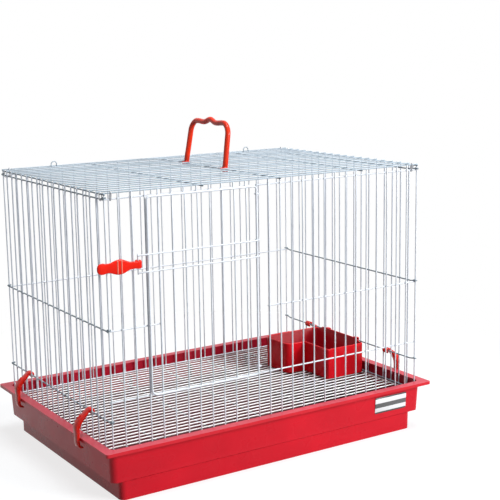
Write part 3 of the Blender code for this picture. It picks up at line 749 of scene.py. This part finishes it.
def tray_loop(spot, steps=9):
    """Rounded rectangle at a spot: offsets beyond the cage along X and Y, corner radius, height."""
    off_x, off_y, radius, z = spot
    half_x, half_y = RIGHT_X + off_x, BACK_Y + off_y
    points = []
    for sx, sy, start in ((1, 1, 0), (-1, 1, 90), (-1, -1, 180), (1, -1, 270)):
        centre = (sx * (half_x - radius), sy * (half_y - radius))
        points += [(*p, z) for p in arc(centre, radius, start, start + 90, steps)]
    return points


def fillet(before, corner, after, radius, steps=4):
    """Rounds one corner of the tray's section."""
    b, c, a = Vector(before), Vector(corner), Vector(after)
    u, v = (b - c).normalized(), (a - c).normalized()
    start, end = c + u * radius, c + v * radius
    points = []
    for i in range(steps + 1):
        t = i / steps
        points.append(tuple(start * (1 - t) ** 2 + c * 2 * t * (1 - t) + end * t ** 2))
    return points


def tray_section():
    """Spots round the tray's section, and how many of them lie on its outside."""
    wall, step, rim = TRAY_WALL, TRAY_STEP_Z, RIM_OFF
    under_lip = RIM_Z - LIP_DROP
    # each spot with the radius of its fillet
    outer = (
        ((-0.0110, -0.0015, 0.009, 0.0), 0.0028), ((-0.0090, 0.0015, 0.009, step - 0.0022), 0.0003),
        ((-0.0104, 0.0001, 0.009, step - 0.0016), 0.0003), ((-0.0104, 0.0001, 0.009, step), 0.0003),
        ((0.0050, 0.0050, 0.010, step), 0.0009), ((0.0085, 0.0085, 0.010, RIM_Z - wall), 0.0010),
        ((rim - wall, rim - wall, 0.0015, RIM_Z - wall), 0.0007),
        ((rim - wall, rim - wall, 0.0015, under_lip), 0.0005),
        ((rim, rim, 0.004, under_lip), 0.0007), ((rim, rim, 0.004, RIM_Z), 0.0012),
    )
    inner = (
        ((0.0060, 0.0060, 0.0075, RIM_Z), 0.0014), ((0.0025, 0.0025, 0.0075, step + wall), 0.0010),
        ((-0.0115, -0.0010, 0.0065, step + wall), 0.0010), ((-0.0135, -0.0040, 0.0065, wall), 0.0030),
    )
    under, floor = (-0.06, -0.06, 0.009, 0.0), (-0.06, -0.06, 0.0065, wall)
    corners = outer + inner
    plain = [under] + [c for c, _ in corners] + [floor]
    points = [under]
    for i, (corner, radius) in enumerate(corners):
        if i == len(outer):
            outside = len(points)
        points += fillet(plain[i], corner, plain[i + 2], radius)
    points.append(floor)
    return points, outside


def seat_ribs():
    """Middle and half sizes of the ribs inside the walls that carry the grate."""
    reach_out, reach_in, half_thick = 0.0039, 0.0047, 0.0015
    shift, half_long = (reach_out - reach_in) / 2, (reach_out + reach_in) / 2
    ribs = []
    for side in (-1, 1):
        for share in (-0.66, -0.22, 0.22, 0.66):
            ribs.append((share * RIGHT_X, side * (BACK_Y + shift), half_thick, half_long))
        for share in (-0.4, 0.4):
            ribs.append((side * (RIGHT_X + shift), share * BACK_Y, half_long, half_thick))
    return ribs


def make_tray():
    """The moulded tub in one skin, its seat ribs, and its colours by height and side: painted shade inside,
    darker low down, and a painted reflection on the rim.
    """
    shape = Shape()
    spots, outside = tray_section()
    shape.rows([tray_loop(spot) for spot in spots])
    outside_faces = outside * len(tray_loop(spots[0]))
    ribs_low, ribs_high = 0.032, GRATE_Z - WIRE_R - GAP
    for x, y, half_x, half_y in seat_ribs():
        section = rounded_section(half_x, half_y, 0.4, 2)
        shape.rows([[(x + u, y + v, z) for u, v in section] for z in (ribs_low, ribs_high)])
    tray = shape.make("tray_shell", TRAY_RED, "cage", "tray", "tray_plastic", 40)
    for material in (TRAY_INSIDE_SHADE, TRAY_FLOOR_SHADE, TRAY_RIM_SHEEN):
        tray.data.materials.append(material)
    inside_shade_index, floor_shade_index, rim_sheen_index = 1, 2, 3
    for face in tray.data.polygons:
        height = face.center.z
        # Faces at the top take the rim's painted reflection.
        if height > RIM_Z - RIM_SHEEN_DEPTH:
            face.material_index = rim_sheen_index
        # Inside faces take painted shade, darker below the floor height.
        elif face.index >= outside_faces and height < RIM_Z - INSIDE_SHADE_DEPTH:
            face.material_index = floor_shade_index if height < FLOOR_SHADE_HEIGHT else inside_shade_index


def label_material(low, high):
    """Blank sticker: plain grey bands by height, with a dark line at top and bottom."""
    material, tree, shader = new_material("blank_label")
    place = tree.nodes.new("ShaderNodeTexCoord")
    split = tree.nodes.new("ShaderNodeSeparateXYZ")
    tree.links.new(place.outputs["Object"], split.inputs["Vector"])
    height = ranged(tree, split.outputs["Z"], (low, high))
    greys = ((0.0, 0.05), (0.09, 0.86), (0.34, 0.10), (0.62, 0.86), (0.91, 0.05))
    stops = [(position, (grey, grey, grey * 1.02)) for position, grey in greys]
    tree.links.new(ramp(tree, height, stops, "CONSTANT"), shader.inputs["Base Color"])
    grain = noise(tree, 700, 2)
    tree.links.new(ranged(tree, grain, NOISE_SPAN, 0.35, 0.5), shader.inputs["Roughness"])
    bump(tree, shader, grain, 0.00003)
    return material


def make_label():
    """Thin rounded plate that leans with the tray's wall."""
    low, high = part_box("tray_label")
    thick = 0.0006
    x_mid, z_mid = middle_of("tray_label", 0), middle_of("tray_label", 2)
    outline = rounded_section((high.x - low.x) / 2, (high.z - low.z) / 2, 0.14, 5)
    slope = (high.y - low.y - thick) / (high.z - low.z)
    rows = []
    for depth, share in ((thick, 1.0), (0.0001, 1.0), (0.0, 0.995)):
        row = []
        for u, v in outline:
            z = z_mid + v * share
            row.append((x_mid + u * share, high.y - thick - (z - low.z) * slope + depth, z))
        rows.append(row)
    shape = Shape()
    shape.rows(rows)
    shape.make("tray_label_plate", label_material(low.z, high.z), "cage", "tray_label", "blank_label")


# ---- feeder -------------------------------------------------------------
HOOK_REACH = 0.0060         # the hooks reach this far past the cup, and this far above it
CUP_WALL = 0.0020
CUP_RISE = 0.0052           # the wall under the hooks is this much higher


def cup_plan(low, high, inset):
    """Plan of the feeder as (x, y, lift), where lift is the share of the raised end wall."""
    right = high.x - HOOK_REACH - inset
    wide = low.x + inset
    narrow = low.x + 0.037 + inset
    front, lobe, back = low.y + inset, low.y + 0.070 + inset, high.y - inset
    small, large, notch = 0.004 - inset * 0.5, 0.012 - inset, 0.0015
    points = [(*p, 0.0) for p in arc((right - small, front + small), small, 270, 360, 6)]
    first, last, steps = low.y + 0.010, high.y - 0.013, 24
    for i in range(steps + 1):
        share = i / steps
        lift = min(1.0, min(share, 1 - share) * 10)
        points.append((right, first + (last - first) * share, lift * lift * (3 - 2 * lift)))
    rest = arc((right - large, back - large), large, 0, 90, 8)
    rest += arc((wide + large, back - large), large, 90, 180, 8)
    rest += arc((wide + large, lobe + large), large, 180, 270, 8)
    rest += arc((narrow - notch, lobe - notch), notch, 90, 0, 3)
    rest += arc((narrow + small, front + small), small, 180, 270, 6)
    return points + [(*p, 0.0) for p in rest]


def make_feeder():
    """L-shaped cup with a rounded rim and two hooks over the end's wire; its inside is darker, as painted
    shade.
    """
    low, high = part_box("feeder_cup")
    wall, top, floor = CUP_WALL, high.z - HOOK_REACH, low.z + CUP_WALL
    lip_low, lip_high = top - 0.0008, top - 0.0002
    # inset from the plan, height, and whether the raised wall lifts it
    outside = (
        (0.0012, low.z, 0), (0.0003, low.z + 0.0006, 0), (0.0, low.z + 0.0016, 0),
        (0.0, (low.z + top) / 2, 0), (0.0, top - 0.0024, 1), (0.0, lip_low, 1),
        (0.0004, lip_high, 1), (wall / 2, top, 1), (wall - 0.0004, lip_high, 1),
    )
    inside = (
        (wall, lip_low, 1), (wall, floor + 0.0020, 0),
        (wall + 0.0008, floor + 0.0006, 0), (wall + 0.0020, floor, 0),
    )
    rows = []
    for inset, z, lifted in outside + inside:
        rows.append([(x, y, z + lifted * lift * CUP_RISE) for x, y, lift in cup_plan(low, high, inset)])
    shape = Shape()
    shape.rows(rows)
    ring = len(rows[0])
    shaded_inner_faces = list(range(len(outside) * ring, (len(rows) - 1) * ring)) + [len(shape.faces) - 1]
    hook_x, hook_z, bend = high.x - 0.001, high.z - 0.001, 0.0016
    section = rounded_section(0.004, 0.0009, 0.7, 3)
    for y in (low.y + 0.0225, low.y + 0.1065):
        path = [(high.x - HOOK_REACH - 0.001, y, hook_z), (hook_x - bend, y, hook_z)]
        path += [(u, y, v) for u, v in arc((hook_x - bend, hook_z - bend), bend, 90, 0, 5)]
        path.append((hook_x, y, END_Z - 0.0035))
        shape.sweep(path, section, taper=False)
    cup = shape.make("feeder_cup_body", CUP_RED, "feeder", "feeder_cup", "feeder_plastic", 40)
    # The cup's inside faces take the darker colour, painted shade.
    cup.data.materials.append(CUP_INSIDE_SHADE)
    for index in shaded_inner_faces:
        cup.data.polygons[index].material_index = 1


# ---- loops and rings ----------------------------------------------------
def make_loops():
    """Two upright loops on the roof's back wire, their feet bent forwards."""
    for side in ("left", "right"):
        name = "hanging_loop_" + side
        low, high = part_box(name)
        x = middle_of(name, 0)
        half = (high.x - low.x) / 2 - THIN_R
        spring = high.z - THIN_R - half
        base = ROOF_Z + STACK + WIRE_R
        leg = [
            (half, BACK_Y - 0.0028, base - 0.0026), (half, BACK_Y - 0.0022, base - 0.0008),
            (half, BACK_Y, base + 0.0010),
        ]
        path = [(x + u, y, z) for u, y, z in leg]
        path += [(u, BACK_Y, v) for u, v in arc((x, spring), half, 0, 180, 12)]
        path += [(x - u, y, z) for u, y, z in reversed(leg)]
        shape = Shape()
        shape.wire(path, THIN_R, THIN_SIDES, up=(0, 1, 0))
        # The loop takes the roof's darker copy of the coat, painted shade.
        shape.make(name + "_wire", ROOF_SHADED_WHITE, "cage", name, "white_wire")


def oval(first, second, radius, steps=10):
    """Loop of (u, v) points round two wires' centres."""
    a, b = Vector(first), Vector(second)
    tilt = math.degrees(math.atan2(b.y - a.y, b.x - a.x))
    points = arc(b, radius, tilt - 90, tilt + 90, steps)
    points += arc(a, radius, tilt + 90, tilt + 270, steps)
    return points


def make_ring(name, across, first, second):
    """Oval ring round two wires; across is the axis that the wires run along."""
    at = middle_of(name, across)
    loop = oval(first, second, WIRE_R + THIN_R * 0.95)
    path = [(at, u, v) if across == 0 else (u, at, v) for u, v in loop]
    up = (1, 0, 0) if across == 0 else (0, 1, 0)
    shape = Shape()
    shape.wire(path, THIN_R, THIN_SIDES, up=up, closed=True)
    shape.make(name + "_wire", STEEL, "cage", name, "ring_steel")


def make_rings():
    """Two rings near each corner: one on the end's wires, one on the long sides' wires."""
    for side, side_name in ((-1, "left"), (1, "right")):
        for place, place_name in ((-1, "front"), (1, "back")):
            corner = f"{side_name}_{place_name}"
            x, y = side * RIGHT_X, place * BACK_Y
            make_ring(f"end_ring_{corner}", 1, (x, TOP_Z), (x, ROOF_Z))
            make_ring(f"side_ring_{corner}", 0, (y - place * STACK, TOP_Z), (y, ROOF_Z + STACK))


# ---- studio -------------------------------------------------------------
def seen_by(tree):
    """1 for rays that look straight at something, or see it mirrored or through glass."""
    path = tree.nodes.new("ShaderNodeLightPath")
    plain = combined(tree, "MAXIMUM", path.outputs["Is Camera Ray"], path.outputs["Is Glossy Ray"])
    return combined(tree, "MAXIMUM", plain, path.outputs["Is Transmission Ray"])


def mixed(tree, factor, plain, seen):
    """Goes from the plain shader to the seen one by the factor."""
    mix = tree.nodes.new("ShaderNodeMixShader")
    tree.links.new(factor, mix.inputs["Fac"])
    tree.links.new(plain, mix.inputs[1])
    tree.links.new(seen, mix.inputs[2])
    return mix.outputs["Shader"]


def emission(tree, strength):
    """Plain white glow."""
    node = tree.nodes.new("ShaderNodeEmission")
    node.inputs["Strength"].default_value = strength
    return node.outputs["Emission"]


def make_floor():
    """Pale floor with the part's shadow near it, which goes over to plain white further out."""
    mesh = bpy.data.meshes.new("floor")
    reach, below, glow_strength, fade = 6.0, 0.0002, 0.78, (0.42, 0.85)
    corners = [(-reach, -reach, 0), (reach, -reach, 0), (reach, reach, 0), (-reach, reach, 0)]
    mesh.from_pydata(corners, [], [(0, 1, 2, 3)])
    floor = bpy.data.objects.new("floor", mesh)
    bpy.context.collection.objects.link(floor)
    material, tree, shader = new_material("pale_floor")
    grain = noise(tree, 3, 2)
    tone = ramp(tree, grain, ((0.3, (0.24, 0.25, 0.26)), (0.7, (0.26, 0.27, 0.28))))
    tree.links.new(tone, shader.inputs["Base Color"])
    shader.inputs["Roughness"].default_value = 0.9
    shader.inputs["Specular IOR Level"].default_value = 0.0
    seen = seen_by(tree)
    glow = tree.nodes.new("ShaderNodeAddShader")
    tree.links.new(shader.outputs["BSDF"], glow.inputs[0])
    tree.links.new(emission(tree, glow_strength), glow.inputs[1])
    near = mixed(tree, seen, shader.outputs["BSDF"], glow.outputs["Shader"])
    place = tree.nodes.new("ShaderNodeTexCoord")
    length = tree.nodes.new("ShaderNodeVectorMath")
    length.operation = "LENGTH"
    tree.links.new(place.outputs["Object"], length.inputs[0])
    away = ranged(tree, length.outputs["Value"], fade, steps="SMOOTHSTEP")
    both = combined(tree, "MULTIPLY", away, seen)
    out = tree.nodes["Material Output"]
    tree.links.new(mixed(tree, both, near, emission(tree, 1.0)), out.inputs["Surface"])
    floor.data.materials.append(material)
    floor.location.z = -below


def area_light(name, place, size, power):
    """Rectangular lamp aimed at the part's middle."""
    target = Vector((0, 0, 0.2))
    data = bpy.data.lights.new(name, "AREA")
    data.shape = "RECTANGLE"
    data.size, data.size_y = size
    data.energy = power
    lamp = bpy.data.objects.new(name, data)
    bpy.context.collection.objects.link(lamp)
    lamp.location = place
    aim = target - Vector(place)
    lamp.rotation_euler = aim.to_track_quat("-Z", "Y").to_euler()


def backdrop(tree, colour, strength):
    """One background shader of the world."""
    node = tree.nodes.new("ShaderNodeBackground")
    node.inputs["Color"].default_value = colour
    node.inputs["Strength"].default_value = strength
    return node.outputs["Background"]


def make_world():
    """Soft grey light for the part and white for the eye."""
    world = bpy.data.worlds.new("studio")
    bpy.context.scene.world = world
    world.use_nodes = True
    tree = world.node_tree
    tree.nodes.clear()
    out = tree.nodes.new("ShaderNodeOutputWorld")
    soft = backdrop(tree, (0.90, 0.95, 1.0, 1), 0.15)
    white = backdrop(tree, (1, 1, 1, 1), 1.0)
    shown = mixed(tree, seen_by(tree), soft, white)
    tree.links.new(shown, out.inputs["Surface"])


def make_camera():
    data = bpy.data.cameras.new("camera")
    data.sensor_width = 36
    data.lens = 81.45
    camera = bpy.data.objects.new("camera", data)
    bpy.context.collection.objects.link(camera)
    camera.location = (-0.954, -1.594, 0.655)
    turn, dip, roll = math.radians(32.9), math.radians(-10.5), math.radians(-0.86)
    forward = Vector((math.sin(turn) * math.cos(dip), math.cos(turn) * math.cos(dip), math.sin(dip)))
    quat = forward.to_track_quat("-Z", "Y")
    camera.rotation_mode = "QUATERNION"
    camera.rotation_quaternion = quat @ Quaternion((0, 0, 1), roll)
    bpy.context.scene.camera = camera


def make_studio():
    make_floor()
    make_world()
    area_light("key", (1.5, -2.7, 1.35), (1.2, 1.2), 104)
    area_light("top", (0.3, -0.4, 2.8), (1.6, 1.2), 68)
    make_camera()
    bpy.context.scene.view_settings.view_transform = "Standard"


def main():
    make_tray()
    make_label()
    make_grate()
    make_front()
    make_back()
    make_end("left_end_panel", -1)
    make_end("right_end_panel", 1)
    make_roof()
    make_door()
    make_latch()
    make_handle()
    make_clips()
    make_feeder()
    make_loops()
    make_rings()
    make_studio()


main()
